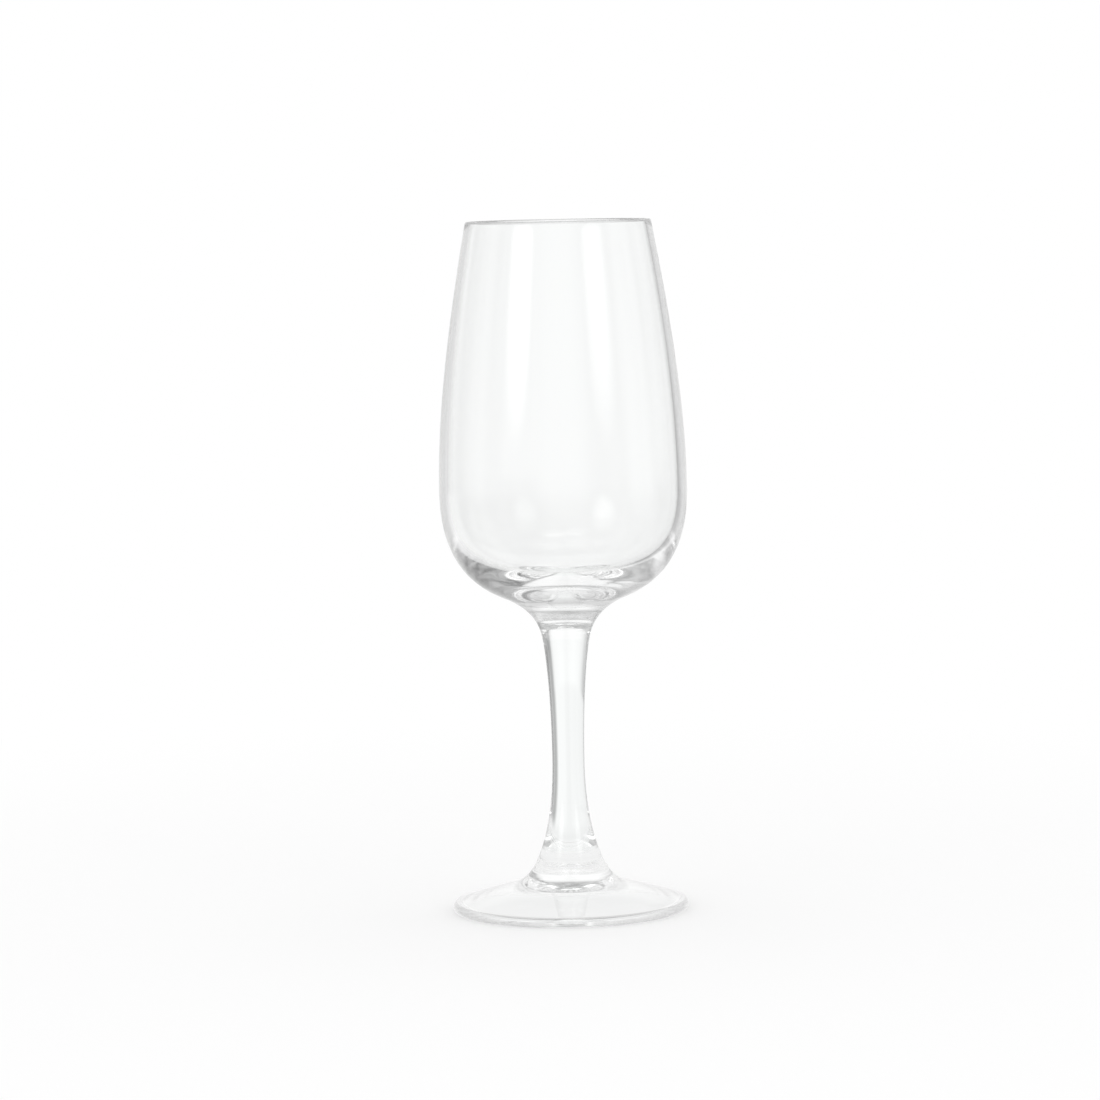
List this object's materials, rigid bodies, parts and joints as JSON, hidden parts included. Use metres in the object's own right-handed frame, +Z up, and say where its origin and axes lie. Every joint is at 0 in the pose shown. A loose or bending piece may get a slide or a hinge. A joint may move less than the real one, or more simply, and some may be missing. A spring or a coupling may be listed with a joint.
{
  "type": "sherry glass",
  "caption": "Clear stemmed glass for sherry: tapered bowl with a drawn-in mouth and thick base, waisted solid stem and round sloped foot.",
  "frame": {"origin": "centre of the foot's rest ring, on the surface that the glass stands on", "axes": "+Z up along the glass's axis of revolution, from the foot to the rim. X and Y are alike"},
  "size_m": [0.0537, 0.0536, 0.15],
  "materials": {
    "clear_glass": "clear, fire-polished"
  },
  "bodies": {
    "root": {"bowl": "clear_glass", "stem": "clear_glass", "foot": "clear_glass"}
  },
  "joints": []
}
